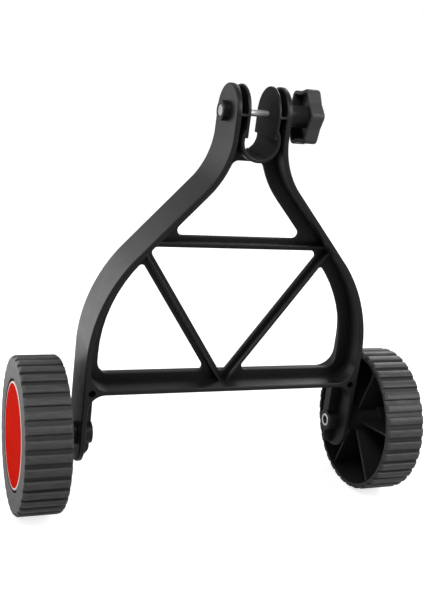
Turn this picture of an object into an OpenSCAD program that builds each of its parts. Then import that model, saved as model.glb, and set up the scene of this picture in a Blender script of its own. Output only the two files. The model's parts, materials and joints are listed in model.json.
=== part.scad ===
// Clamp-on support wheels for a round pole: a moulded A-frame with a split clamp and two wheels.
// Millimetres. The origin is the centre of the clamp's bore, X lies along the axles, Y along the
// pole and Z points up. The right side is modelled and the left side is its mirror image.

/* [Clamp] */
// Diameter of the pole that the clamp grips
pole_d = 25.4; // [22:0.1:28]
// Wall of the clamp ring
ring_t = 2.7; // [2:0.1:3.4]
// Clear slot between the two jaws above the ring
mouth_w = 20.8; // [16:0.1:22]
// Thickness of each jaw plate
jaw_t = 2.5; // [2:0.1:4]
// Open space between a jaw plate and the ear beside it
ear_gap = 4.5; // [3:0.1:7]
// Height of the clamp bolt above the middle of the pole
bolt_rise = 17.9; // [17:0.1:24]

/* [Frame] */
// Depth of the moulding from front to back
frame_depth = 40; // [34:1:46]
// Wall of the ears, arms and legs
band_t = 4.2; // [3:0.1:5.5]
// Wall of the cross flange above the legs
flange_t = 3.8; // [3:0.1:5.5]
// Thickness of the web in the middle of the frame
web_t = 3; // [2:0.1:4.5]
// Width of the web strip that lines each arm
strip_w = 9; // [6:0.5:12]
// Distance across the outer faces of the two legs
leg_span = 228; // [214:0.5:242]
// Height of the ears' foot above the middle of the pole, where the outward bend begins
bend_rise = 4; // [0:0.5:10]
// Radius of the outward bend below the ears
bend_r = 60; // [48:1:70]
// Slope of the straight arms, from the vertical
arm_slope = 42; // [38:0.5:46]
// Radius of the shoulder bend above the legs
shoulder_r = 120; // [100:1:132]
// Drop from the pole to the top of the cross flange
flange_drop = 190.6; // [182:0.2:198]
// Fillet between the cross flange and the arms
upper_fillet = 15; // [8:0.5:18]
// Fillet between the cross flange and the legs
lower_fillet = 12.5; // [6:0.5:16]
// Diameter of the core hole in each flange corner
core_d = 5.4; // [3:0.1:6]

/* [Lattice] */
// Drop from the pole to the middle of the cross bar
bar_drop = 79.7; // [72:0.1:88]
// Height of the cross bar
bar_h = 9.6; // [8:0.2:14]
// Width of each diagonal strut
strut_w = 9.2; // [7:0.2:12]
// Drop from the middle of the bar to where a strut meets the arm
strut_drop = 5.5; // [4:0.5:9]
// Distance of a strut's foot from the middle
strut_foot = 3.2; // [1:0.1:5]
// Height of the web strip above the cross flange
sill_h = 6.7; // [4:0.1:10]
// Thickness of the stiffening ribs on the bar and struts
rib_t = 2.2; // [1.6:0.1:3.2]
// Depth of the stiffening ribs from front to back
rib_depth = 15.6; // [12:0.2:24]
// Corner radius of the windows
window_r = 4; // [2:0.5:5]

/* [Axles] */
// Drop from the pole to the axles
axle_drop = 233.2; // [226:0.2:250]
// Drop from the axle to the middle of the leg's round end
tongue_drop = 2; // [0:0.5:6]
// Diameter of the axle screw's shank
screw_d = 6; // [5:0.1:7]
// Diameter of the axle screw's head
head_d = 10.6; // [9.5:0.1:12]
// Height of the axle screw's head
head_h = 6; // [4:0.1:7]
// Width across flats of the hexagon socket
socket_af = 6.6; // [4:0.1:7]
// Outer diameter of the sleeve that the wheel turns on
sleeve_d = 10; // [9:0.1:12]
// Diameter of the boss on each side of a leg
boss_d = 17.4; // [15:0.2:20]
// Height of the boss on the inner side of a leg
boss_in = 8.5; // [7:0.1:11]
// Height of the boss on the outer side of a leg
boss_out = 2.2; // [1:0.1:6]
// Outer diameter of the axle washers
washer_d = 18; // [15:0.5:20]
// Thickness of the inner axle washer
inner_washer_t = 1; // [0.6:0.1:2]
// Thickness of the outer axle washer
outer_washer_t = 1.6; // [1:0.1:2]
// Width across flats of the lock nut
nut_af = 10; // [9:0.1:12]
// Height of the lock nut
nut_h = 5.8; // [4.5:0.1:7]

/* [Wheels] */
// Diameter over the tread
wheel_d = 120; // [112:1:130]
// Width of the wheel
wheel_w = 34; // [28:0.5:42]
// Number of tread bars
tread_bars = 36; // [24:1:44]
// Height of the tread bars
tread_h = 2.4; // [1.4:0.1:3.5]
// Width of the grooves between the tread bars
groove_w = 3.2; // [2:0.1:4.5]
// Wall of the rim under the tread
rim_t = 2.2; // [1.6:0.1:4]
// Wall of the wheel's outer disc
disc_t = 3; // [2:0.1:4.5]
// Diameter of the recess for the cap
recess_d = 85; // [83:0.5:92]
// Depth of the recess for the cap
recess_h = 3.4; // [2.4:0.1:5]
// Diameter of the hub
hub_d = 20; // [17:0.5:26]
// Distance that the hub stands out of the rim on the leg's side
hub_stand = 9.5; // [4:0.5:14]
// Number of ribs between hub and rim
wheel_ribs = 6; // [4:1:8]
// Thickness of those ribs
wheel_rib_t = 2; // [1.4:0.1:3]
// Distance of the ribs' free edge below the rim's edge
wheel_rib_set = 3; // [1:0.5:8]

/* [Caps] */
// Diameter of the cap
cap_d = 81; // [78:0.5:82.5]
// Diameter of the coloured face set in the cap
face_d = 76.4; // [70:0.2:77]
// Thickness of the coloured face
face_t = 0.8; // [0.5:0.1:1.4]
// Distance of the cap's rim below the wheel's outer face
cap_set = 0.3; // [0:0.1:0.8]

/* [Clamp bolt and knob] */
// Diameter of the clamp bolt
bolt_d = 5; // [4:0.1:6]
// Reach of the clamp bolt into the knob, past the hub's bearing face
bolt_reach = 19; // [15:0.5:21]
// Width across flats of the bolt's head
bolt_af = 8; // [7:0.1:10]
// Height of the bolt's head
bolt_head_h = 3.5; // [2.5:0.1:4.5]
// Diameter of the boss that holds the bolt's head
bolt_boss_d = 14.8; // [13:0.1:18]
// Height of the boss that holds the bolt's head
bolt_boss_h = 5.4; // [5:0.1:8]
// Outer diameter of the washer under the knob
knob_washer_d = 15; // [12:0.5:18]
// Thickness of the washer under the knob
knob_washer_t = 1; // [0.6:0.1:2]
// Diameter of the knob over its corners
knob_d = 44; // [38:0.5:50]
// Height of the knob's head
knob_h = 10.6; // [9:0.2:16]
// Number of corners
knob_corners = 6; // [5:1:8]
// Radius of the corners
knob_corner_r = 4.6; // [3.5:0.1:7]
// Depth of the hollow in each flank between two corners
scallop_h = 1.4; // [0.4:0.1:2]
// Wall of the knob's head
knob_wall = 2.8; // [2:0.1:3.4]
// Diameter of the knob's hub
knob_hub_d = 16; // [13:0.5:18]
// Distance of the knob's head from the hub's bearing face
knob_stand = 13.2; // [12:0.2:17]
// Diameter of the threaded insert in the knob
insert_d = 8; // [7:0.1:9.5]
// Length of the threaded insert
insert_len = 11; // [6:0.5:12]

/* [Hidden] */
$fn = 96;

// Clearances
run_gap = 0.05;
hole_gap = 0.25;
loose_gap = 0.4;
end_play = 0.3;
face_gap = 0.05;
// Overlap of cutting shapes past the faces that they cut
over = 1;

// Clamp, seen from the front
pole_r = pole_d / 2;
ring_r = pole_r + ring_t;
jaw_in = mouth_w / 2;
jaw_out = jaw_in + jaw_t;
ear_in = jaw_out + ear_gap;
ear_x = ear_in + band_t;
round_r = frame_depth / 2;
ear_top = bolt_rise + round_r;
bridge_t = 2;
web_crown = 1;

// Arms, legs and flange, seen from the front
leg_x = leg_span / 2;
leg_in = leg_x - band_t;
slope_sin = sin(arm_slope);
slope_cos = cos(arm_slope);
bend_c = [ear_x + bend_r, bend_rise];
arm_start = bend_c - bend_r * [slope_cos, slope_sin];
arm_run = (leg_x - shoulder_r * (1 - slope_cos) - arm_start.x) / slope_sin;
arm_end = arm_start + arm_run * [slope_sin, -slope_cos];
shoulder_c = arm_end - shoulder_r * [slope_cos, slope_sin];
axle_z = -axle_drop;
tongue_z = axle_z - tongue_drop;
leg_end = tongue_z - round_r;
flange_top = -flange_drop;
flange_low = flange_top - flange_t;
core_depth = 12;
core_set = 2;
core_x = leg_in - core_set;
leg_rib_r = 9;
leg_rib_set = 1;

// Lattice, seen from the front
strip_in = band_t + strip_w;
bar_z = -bar_drop;
bar_top = bar_z + bar_h / 2;
bar_low = bar_z - bar_h / 2;
strut_z = bar_z - strut_drop;
strut_lean = (arm_x(strut_z, band_t) - strut_foot) / (strut_z - flange_top);
strut_half = strut_w / 2 * sqrt(1 + pow(strut_lean, 2));
sill_z = flange_top + sill_h;
ring_strip = 1.9;
crown_z = -ring_r - ring_strip;
crown_r = 6;
foot_r = 9;
peak_r = 2.8;

// Places along the axle, from the middle of the frame
boss_in_x = leg_in - boss_in;
head_set = 0.2;
seat_x = boss_in_x + head_set + head_h;
boss_out_x = leg_x + boss_out;
hub_x = boss_out_x + inner_washer_t + end_play;
rim_x = hub_x + hub_stand;
face_x = rim_x + wheel_w;
recess_x = face_x - recess_h;
nut_pocket_h = end_play + outer_washer_t + nut_h + end_play;
pocket_x = recess_x - nut_pocket_h;
sleeve_end = pocket_x + end_play;
nut_x = sleeve_end + outer_washer_t;
nut_collar_h = nut_h / 4;
nut_collar_d = 0.92 * nut_af;
screw_end = nut_x + nut_h;

// Wheel, measured from the rim's inner edge
wheel_r = wheel_d / 2;
floor_r = wheel_r - tread_h;
rim_in = floor_r - rim_t;
bar_bevel = 2;
bar_foot = tread_h / 3;
groove_flare = 0.6;
bar_root_w = 2 * floor_r * sin(180 / tread_bars) - groove_w;
bar_top_w = 2 * wheel_r * sin(180 / tread_bars) - groove_w - 2 * groove_flare;
bar_crown_r = 1.5 * bar_top_w;
pocket_space = 2;
pocket_wall = 2.5;
hub_wall = 3;
pocket_r = washer_d / 2 + pocket_space;
hub_r = max(hub_d / 2, sleeve_d / 2 + hub_wall);
collar_r = pocket_r + pocket_wall;
recess_r = recess_d / 2;
right_tread_turn = 2;
left_tread_turn = 5.3;
rib_turn = 20;

// Places along the clamp bolt
bolt_boss_x = -ear_x - bolt_boss_h;
bolt_head_set = 0.2;
bolt_seat_x = bolt_boss_x + bolt_head_set + bolt_head_h;
bolt_tube_d = 10;
knob_x = ear_x + knob_washer_t + face_gap;
bolt_end = knob_x + bolt_reach;
knob_back = knob_x + knob_stand;
knob_roof = 3;
knob_turn = 20;
valley_r = 8;

// Finishes
frame_tone = [0.13, 0.13, 0.14];
wheel_tone = [0.25, 0.25, 0.26];
steel_tone = [0.78, 0.79, 0.8];
brass_tone = [0.8, 0.64, 0.32];
cap_tone = [0.93, 0.92, 0.9];
face_tone = [0.86, 0.14, 0.08];

// Half width of the straight arm at height z, at a distance inside its outer face
function arm_x(z, inset) = arm_start.x + (arm_start.y - z) * tan(arm_slope) - inset / slope_cos;

// Middle of the strut at height z
function strut_x(z) = strut_foot + strut_lean * (z - flange_top);

// Points of an arc about c from angle a to angle b
function arc(c, r, a, b, n) = [for (i = [0:n]) c + r * [cos(a + (b - a) * i / n), sin(a + (b - a) * i / n)]];

function unit(v) = v / norm(v);

function bearing(v) = atan2(v.y, v.x);

// Corner q between p and s, rounded by radius r
function corner(p, q, s, r) = r == 0 ? [q] :
    let (
        u = unit(p - q),
        v = unit(s - q),
        half = acos(u * v) / 2,
        c = q + unit(u + v) * r / sin(half),
        a = bearing(q + u * r / tan(half) - c),
        b = bearing(q + v * r / tan(half) - c),
        turn = (b - a + 540) % 360 - 180
    )
    arc(c, r, a, a + turn, 6);

// Closed outline whose corners are rounded by the radii beside them
function rounded(points, radii) =
    let (n = len(points))
    [for (i = [0:n - 1]) each corner(points[(i + n - 1) % n], points[i], points[(i + 1) % n], radii[i])];

function zeros(n) = [for (i = [1:n]) 0];

function mirrored(points) = [for (i = [len(points) - 1:-1:0]) [-points[i].x, points[i].y]];

function reversed(list) = [for (i = [len(list) - 1:-1:0]) list[i]];

// Shape drawn in the front view, given a depth about the middle plane
module slab(depth) {
    rotate([90, 0, 0])
        linear_extrude(height = depth, center = true)
            children();
}

// Both halves of a shape drawn for the right side
module both_sides() {
    for (side = [0, 1])
        mirror([side, 0, 0])
            children();
}

// Round bar along X between two places, at height z
module x_bar(d, from, to, z, sides = 0) {
    translate([from, 0, z])
        rotate([0, 90, 0])
            cylinder(d = d, h = to - from, $fn = sides > 0 ? sides : $fn);
}

// Hexagon bar along X, by its width across flats
module x_hex(af, from, to, z) {
    x_bar(af / cos(30), from, to, z, 6);
}

// Round tube along X
module x_tube(d, bore, from, to, z) {
    difference() {
        x_bar(d, from, to, z);
        x_bar(bore, from - over, to + over, z);
    }
}

// Region inside the outer face of ear, arm and leg, drawn in by inset, on the right half
module half_inside(inset) {
    bend = bend_r + inset;
    shoulder = shoulder_r - inset;
    a = bend_c - bend * [slope_cos, slope_sin];
    b = shoulder_c + shoulder * [slope_cos, slope_sin];
    difference() {
        union() {
            polygon([
                [0, ear_top], [ear_x - inset, ear_top], [ear_x - inset, bend_rise], a, b,
                [leg_x - inset, shoulder_c.y], [leg_x - inset, leg_end], [0, leg_end]
            ]);
            intersection() {
                translate(shoulder_c) circle(r = shoulder, $fn = 360);
                translate([0, shoulder_c.y]) square([leg_x, shoulder_r]);
            }
        }
        translate(bend_c) circle(r = bend, $fn = 240);
    }
}

// Ear, arm and leg as one bent band
module band_outline() {
    difference() {
        half_inside(0);
        half_inside(band_t);
    }
}

// Cross flange with its fillets against arm and leg
module flange_outline() {
    translate([0, flange_low]) square([leg_in + band_t / 2, flange_t]);
    difference() {
        translate([leg_in - upper_fillet, flange_top - flange_t / 2])
            square([upper_fillet + band_t / 2, upper_fillet + flange_t / 2]);
        translate([leg_in - upper_fillet, flange_top + upper_fillet]) circle(r = upper_fillet);
    }
    difference() {
        translate([leg_in - lower_fillet, flange_low - lower_fillet])
            square([lower_fillet + band_t / 2, lower_fillet + flange_t / 2]);
        translate([leg_in - lower_fillet, flange_low - lower_fillet]) circle(r = lower_fillet);
    }
}

// Split ring and its two jaws
module clamp_outline() {
    difference() {
        union() {
            circle(r = ring_r);
            both_sides() translate([jaw_in, 0]) square([jaw_t, ear_top]);
        }
        circle(r = pole_r);
        translate([-jaw_in, 0]) square([mouth_w, ear_top + over]);
    }
}

// Window between the ring, the arms and the cross bar
module top_window() {
    r = bend_r + strip_in;
    rise = asin((bend_c.y - crown_z) / r);
    bend = arc(bend_c, r, 180 + arm_slope, 180 + rise, 6);
    side = concat([[arm_x(bar_top, strip_in), bar_top]], bend);
    radii = concat([window_r], zeros(len(bend) - 1), [crown_r]);
    polygon(rounded(concat(side, mirrored(side)), concat(radii, reversed(radii))));
}

// Window between the cross bar and the two struts
module middle_window() {
    apex = flange_top + (strut_half - strut_foot) / strut_lean;
    half = strut_x(bar_low) - strut_half;
    polygon(rounded([[half, bar_low], [-half, bar_low], [0, apex]], window_r * [1, 1, 1]));
}

// Window between a strut, the arm and the sill above the flange
module side_window() {
    r = shoulder_r - strip_in;
    edge = strut_x(shoulder_c.y) + strut_half - shoulder_c.x;
    q = 1 + pow(strut_lean, 2);
    lift = (sqrt(pow(edge * strut_lean, 2) - q * (pow(edge, 2) - pow(r, 2))) - edge * strut_lean) / q;
    side = arc(shoulder_c, r, asin(lift / r), 0, 8);
    foot = [[shoulder_c.x + r, sill_z], [strut_x(sill_z) + strut_half, sill_z]];
    radii = concat([peak_r], zeros(len(side) - 1), [foot_r, window_r]);
    polygon(rounded(concat(side, foot), radii));
}

// Web plate in the middle plane, with its four windows
module web_outline() {
    difference() {
        both_sides()
            intersection() {
                half_inside(band_t / 2);
                translate([0, flange_low + flange_t / 2])
                    square([leg_x, ear_top - web_crown - flange_low - flange_t / 2]);
            }
        circle(r = ring_r - ring_t / 2);
        translate([-jaw_out + jaw_t / 2, 0]) square([2 * jaw_out - jaw_t, ear_top]);
        top_window();
        middle_window();
        both_sides() side_window();
    }
}

// Stiffening ribs along the bar and the struts
module rib_outline() {
    both_sides()
        intersection() {
            half_inside(band_t / 2);
            union() {
                translate([0, bar_z - rib_t / 2]) square([leg_x, rib_t]);
                translate([strut_foot, flange_top])
                    rotate(-atan(strut_lean))
                        translate([-rib_t / 2, -flange_t / 4])
                            square([rib_t, flange_drop]);
            }
            translate([0, flange_low + flange_t / 2]) square([leg_x, strut_z + strut_w - flange_low]);
        }
}

// Rib down the inner side of a leg, past the axle boss
module leg_rib_outline() {
    polygon(rounded(
        [
            [leg_x - band_t / 2, flange_low + flange_t / 2],
            [boss_in_x + leg_rib_set, flange_low + flange_t / 2],
            [boss_in_x + leg_rib_set, leg_end + over],
            [leg_x - band_t / 2, leg_end + over]
        ],
        [0, 0, leg_rib_r, 0]
    ));
}

// Outline of the moulding seen from the side, round at the bolt and below the axle
module side_profile() {
    rotate([90, 0, 90])
        linear_extrude(height = leg_span + 2 * over, center = true)
            union() {
                translate([-round_r, tongue_z]) square([frame_depth, bolt_rise - tongue_z]);
                translate([0, tongue_z]) circle(r = round_r);
                translate([0, bolt_rise]) circle(r = round_r);
            }
}

// Material of the moulding before its holes
module frame_body() {
    intersection() {
        slab(frame_depth)
            union() {
                both_sides() band_outline();
                both_sides() flange_outline();
                clamp_outline();
                both_sides()
                    translate([jaw_in + jaw_t / 2, bolt_rise - bridge_t / 2])
                        square([ear_x - jaw_in - jaw_t / 2 - band_t / 2, bridge_t]);
            }
        side_profile();
    }
    slab(web_t) web_outline();
    slab(rib_depth) rib_outline();
    slab(web_t) both_sides() leg_rib_outline();
    both_sides() {
        x_bar(bolt_tube_d, jaw_in + jaw_t / 2, ear_x - band_t / 2, bolt_rise);
        x_bar(boss_d, boss_in_x, boss_out_x, axle_z);
    }
    x_bar(bolt_boss_d, bolt_boss_x, -ear_in - band_t / 2, bolt_rise);
}

// One-piece moulding: clamp, arms, lattice, flange and legs
module frame() {
    color(frame_tone)
        difference() {
            frame_body();
            x_bar(bolt_d + 2 * hole_gap, bolt_boss_x - over, ear_x + over, bolt_rise);
            x_hex(bolt_af + 2 * hole_gap, bolt_boss_x - over, bolt_seat_x, bolt_rise);
            both_sides() {
                x_bar(screw_d + 2 * hole_gap, boss_in_x - over, boss_out_x + over, axle_z);
                x_bar(head_d + 2 * loose_gap, boss_in_x - over, seat_x, axle_z);
                translate([core_x, -round_r - over, flange_top - flange_t / 2])
                    rotate([-90, 0, 0])
                        cylinder(d = core_d, h = core_depth + over, $fn = 32);
            }
        }
}

// Hexagon bolt held in the left ear, crossing both jaws to the knob
module clamp_bolt() {
    color(steel_tone) {
        x_hex(bolt_af, bolt_seat_x - bolt_head_h, bolt_seat_x, bolt_rise);
        x_bar(bolt_d, bolt_seat_x, bolt_end, bolt_rise);
    }
}

// Flat washer between the right ear and the knob
module clamp_washer() {
    color(steel_tone)
        x_tube(knob_washer_d, bolt_d + 2 * hole_gap, ear_x, ear_x + knob_washer_t, bolt_rise);
}

// Outline of the knob's head, drawn in by inset: hollow flanks between rounded corners
module knob_outline(inset) {
    step = 180 / knob_corners;
    half = 90 - step - atan(scallop_h / (knob_d / 2 * sin(step)));
    tip = knob_d / 2 + knob_corner_r * (1 / sin(half) - 1) - inset / sin(half);
    valley = tip * sin(half) / sin(half + step);
    corners = [0:2 * knob_corners - 1];
    polygon(rounded(
        [
            for (i = corners)
                let (a = knob_turn + i * step)
                    (i % 2 == 0 ? tip : valley) * [cos(a), sin(a)]
        ],
        [for (i = corners) i % 2 == 0 ? knob_corner_r - inset : valley_r + inset]
    ));
}

// Hollow knob on a long hub
module knob() {
    color(frame_tone)
        difference() {
            union() {
                translate([knob_back, 0, bolt_rise])
                    rotate([0, 90, 0])
                        difference() {
                            linear_extrude(height = knob_h) knob_outline(0);
                            translate([0, 0, -over])
                                linear_extrude(height = knob_h - knob_roof + over) knob_outline(knob_wall);
                        }
                x_bar(knob_hub_d, knob_x, knob_back + knob_h - knob_roof / 2, bolt_rise);
            }
            x_bar(insert_d, knob_x - over, knob_x + insert_len, bolt_rise);
            x_bar(bolt_d + 2 * loose_gap, knob_x, bolt_end + end_play, bolt_rise);
        }
}

// Threaded insert moulded into the knob's hub
module knob_insert() {
    color(brass_tone)
        x_tube(insert_d, bolt_d + 2 * run_gap, knob_x, knob_x + insert_len, bolt_rise);
}

// Outline of the tread: domed bars round a disc
module tread_outline(turn) {
    circle(r = floor_r, $fn = 180);
    for (i = [0:tread_bars - 1])
        rotate(turn + 360 * (i + 0.5) / tread_bars)
            intersection() {
                translate([wheel_r - bar_crown_r, 0]) circle(r = bar_crown_r);
                polygon([
                    [rim_in, -bar_root_w / 2], [floor_r, -bar_root_w / 2], [wheel_r, -bar_top_w / 2],
                    [wheel_r, bar_top_w / 2], [floor_r, bar_root_w / 2], [rim_in, bar_root_w / 2]
                ]);
            }
}

// Drum with the tread bars bevelled at both ends
module tread_drum(turn) {
    intersection() {
        linear_extrude(height = wheel_w) tread_outline(turn);
        rotate_extrude($fn = 180)
            polygon([
                [0, 0], [floor_r + bar_foot, 0], [wheel_r, bar_bevel], [wheel_r, wheel_w - bar_bevel],
                [floor_r + bar_foot, wheel_w], [0, wheel_w]
            ]);
    }
}

// Open hollow of the wheel, round the back of the cap's recess
module wheel_hollow() {
    difference() {
        translate([0, 0, -over]) cylinder(r = rim_in, h = wheel_w - disc_t + over);
        translate([0, 0, wheel_w - recess_h - disc_t]) cylinder(r = recess_r + disc_t, h = recess_h + disc_t);
    }
}

// Wheel on its own axis: tread, rim, disc, hub and ribs
module wheel(turn) {
    collar_z = pocket_x - rim_x - disc_t;
    disc_mid = wheel_w - recess_h - disc_t / 2;
    rib_h = wheel_w - disc_t / 2 - wheel_rib_set;
    difference() {
        union() {
            difference() {
                tread_drum(turn);
                wheel_hollow();
            }
            translate([0, 0, -hub_stand]) cylinder(r = hub_r, h = hub_stand + disc_mid);
            translate([0, 0, collar_z]) cylinder(r = collar_r, h = disc_mid - collar_z);
            for (i = [0:wheel_ribs - 1])
                rotate(rib_turn + 360 * i / wheel_ribs)
                    translate([hub_r - over, -wheel_rib_t / 2, wheel_rib_set])
                        cube([rim_in + rim_t / 2 - hub_r + over, wheel_rib_t, rib_h]);
        }
        translate([0, 0, wheel_w - recess_h]) cylinder(r = recess_r, h = recess_h + over);
        translate([0, 0, pocket_x - rim_x]) cylinder(r = pocket_r, h = nut_pocket_h + over);
        translate([0, 0, -hub_stand - over])
            cylinder(d = sleeve_d + 2 * run_gap, h = hub_stand + wheel_w + over);
    }
}

// Cap seated in the wheel's recess, with a shallow seat for its coloured face
module cap() {
    difference() {
        translate([0, 0, wheel_w - recess_h]) cylinder(d = cap_d, h = recess_h - cap_set);
        translate([0, 0, wheel_w - cap_set - face_t])
            cylinder(d = face_d + 2 * face_gap, h = face_t + over);
    }
}

// Coloured face of the cap
module cap_face() {
    translate([0, 0, wheel_w - cap_set - face_t]) cylinder(d = face_d, h = face_t);
}

// Puts what is drawn on the wheel's own axis on to the right axle
module on_axle() {
    translate([rim_x, 0, axle_z])
        rotate([0, 90, 0])
            children();
}

module right_wheel() {
    color(wheel_tone) on_axle() wheel(right_tread_turn);
}

module right_cap() {
    color(cap_tone) on_axle() cap();
}

module right_cap_face() {
    color(face_tone) on_axle() cap_face();
}

// Socket-head screw through the leg, the sleeve and the lock nut
module right_axle_screw() {
    color(steel_tone)
        difference() {
            union() {
                x_bar(head_d, seat_x - head_h, seat_x, axle_z);
                x_bar(screw_d, seat_x, screw_end, axle_z);
            }
            x_hex(socket_af, seat_x - head_h - over, seat_x - head_h / 2, axle_z);
        }
}

// Sleeve clamped between the leg and the outer washer, on which the wheel turns
module right_axle_sleeve() {
    color(steel_tone)
        x_tube(sleeve_d, screw_d + 2 * hole_gap, boss_out_x, sleeve_end, axle_z);
}

// Washer between the leg and the hub
module right_inner_washer() {
    color(steel_tone)
        x_tube(washer_d, sleeve_d + 2 * hole_gap, boss_out_x, boss_out_x + inner_washer_t, axle_z);
}

// Washer that keeps the wheel on the sleeve
module right_outer_washer() {
    color(steel_tone)
        x_tube(washer_d, screw_d + 2 * hole_gap, sleeve_end, nut_x, axle_z);
}

// Lock nut with its round collar, under the cap
module right_lock_nut() {
    color(steel_tone)
        difference() {
            union() {
                x_hex(nut_af, nut_x, screw_end - nut_collar_h, axle_z);
                x_bar(nut_collar_d, screw_end - nut_collar_h, screw_end, axle_z);
            }
            x_bar(screw_d + 2 * run_gap, nut_x - over, screw_end + over, axle_z);
        }
}

module to_left() {
    mirror([1, 0, 0])
        children();
}

module left_wheel() {
    color(wheel_tone) to_left() on_axle() wheel(left_tread_turn);
}

module left_cap() {
    to_left() right_cap();
}

module left_cap_face() {
    to_left() right_cap_face();
}

module left_axle_screw() {
    to_left() right_axle_screw();
}

module left_axle_sleeve() {
    to_left() right_axle_sleeve();
}

module left_inner_washer() {
    to_left() right_inner_washer();
}

module left_outer_washer() {
    to_left() right_outer_washer();
}

module left_lock_nut() {
    to_left() right_lock_nut();
}

frame();
clamp_bolt();
clamp_washer();
knob();
knob_insert();
left_wheel();
left_cap();
left_cap_face();
left_axle_screw();
left_axle_sleeve();
left_inner_washer();
left_outer_washer();
left_lock_nut();
right_wheel();
right_cap();
right_cap_face();
right_axle_screw();
right_axle_sleeve();
right_inner_washer();
right_outer_washer();
right_lock_nut();
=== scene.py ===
"""Looks of the clamp-on pole support wheels.

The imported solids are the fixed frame. Each is shown by a copy with softened edges, the clamp
gets its grip lips and ridges, and every piece wears the finish of its material slot. Lengths
are metres in the row's frame: X along the axles, Y along the pole and Z up from the axles to
the clamp.
"""

import json
import logging
import math
from collections.abc import Sequence
from dataclasses import dataclass, field
from enum import Enum

import bmesh
import bpy
from mathutils import Matrix, Vector

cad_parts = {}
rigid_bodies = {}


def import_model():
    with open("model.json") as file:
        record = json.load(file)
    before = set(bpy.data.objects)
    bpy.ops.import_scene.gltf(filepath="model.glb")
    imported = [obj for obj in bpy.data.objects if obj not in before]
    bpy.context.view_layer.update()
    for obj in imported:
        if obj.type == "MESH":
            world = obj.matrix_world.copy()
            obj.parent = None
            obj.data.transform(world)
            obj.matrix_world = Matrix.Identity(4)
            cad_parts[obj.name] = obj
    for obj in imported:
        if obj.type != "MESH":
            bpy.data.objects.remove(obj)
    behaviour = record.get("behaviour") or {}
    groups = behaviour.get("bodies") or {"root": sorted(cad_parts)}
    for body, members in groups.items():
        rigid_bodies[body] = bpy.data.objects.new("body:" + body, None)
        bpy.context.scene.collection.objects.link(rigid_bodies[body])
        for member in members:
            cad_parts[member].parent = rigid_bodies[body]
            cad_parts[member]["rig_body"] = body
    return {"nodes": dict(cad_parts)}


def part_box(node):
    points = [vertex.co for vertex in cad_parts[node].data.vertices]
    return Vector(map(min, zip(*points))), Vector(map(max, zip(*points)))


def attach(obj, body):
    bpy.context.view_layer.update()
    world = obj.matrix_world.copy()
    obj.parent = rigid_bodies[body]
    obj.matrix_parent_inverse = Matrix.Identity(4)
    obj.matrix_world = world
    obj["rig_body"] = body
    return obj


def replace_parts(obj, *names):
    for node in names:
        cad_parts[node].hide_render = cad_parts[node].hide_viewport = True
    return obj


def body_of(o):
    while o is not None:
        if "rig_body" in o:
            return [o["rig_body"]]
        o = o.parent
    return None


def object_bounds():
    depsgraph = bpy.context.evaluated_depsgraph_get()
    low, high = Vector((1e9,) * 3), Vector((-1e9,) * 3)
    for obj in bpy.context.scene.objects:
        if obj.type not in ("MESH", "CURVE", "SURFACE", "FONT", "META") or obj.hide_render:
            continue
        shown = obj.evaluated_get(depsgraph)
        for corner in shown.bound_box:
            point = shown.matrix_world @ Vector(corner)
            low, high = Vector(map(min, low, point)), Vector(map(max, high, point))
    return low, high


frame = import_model()
CAD_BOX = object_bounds()

LOG = logging.getLogger("support_wheels")
MM = 0.001
WELD = 1e-6
FLAT_ANGLE = math.radians(1)
SHARP_ANGLE = math.radians(28)
CREASE_ANGLE = math.radians(40)
ROUND_PROFILE = 0.5
BAR_SEGMENTS = 2
GRAIN_DETAIL = 2
PLASTIC_IOR = 1.46

Colour = tuple[float, float, float]
Place = tuple[float, float, float]
Limits = tuple[float, float]
Section = list[tuple[float, float]]
Source = bpy.types.NodeSocket | float

RED: Colour = (0.56, 0.009, 0.002)
WHITE: Colour = (1.0, 1.0, 1.0)


class Body(Enum):
    """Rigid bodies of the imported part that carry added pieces."""

    FRAME = "frame"


class Slot(Enum):
    """Material slots of the record."""

    FRAME = "frame_plastic"
    KNOB = "knob_plastic"
    WHEEL = "wheel_plastic"
    CAP = "cap_white"
    FACE = "cap_red"
    STEEL = "zinc_steel"
    BRASS = "insert_brass"


class Side(Enum):
    """Sides of the part, valued by the sign of their X."""

    LEFT = -1
    RIGHT = 1

    def node(self, name: str) -> str:
        """Name of this side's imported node."""
        return f"{self.name.lower()}_{name}"


class Axis(Enum):
    """Axes of the row's frame as unit vectors."""

    X = (1.0, 0.0, 0.0)
    Y = (0.0, 1.0, 0.0)
    Z = (0.0, 0.0, 1.0)


class Operation(Enum):
    """Operations on a shader's values, by the names that Blender gives them."""

    ADD = "ADD"
    SUBTRACT = "SUBTRACT"
    MULTIPLY = "MULTIPLY"
    ABSOLUTE = "ABSOLUTE"
    ROOT = "SQRT"
    MAXIMUM = "MAXIMUM"
    LESS = "LESS_THAN"
    GREATER = "GREATER_THAN"


# Turn of a tread groove from the vertical on each wheel at rest.
TREAD_GROOVES = {Side.LEFT: math.radians(5.3), Side.RIGHT: math.radians(2.0)}


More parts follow.
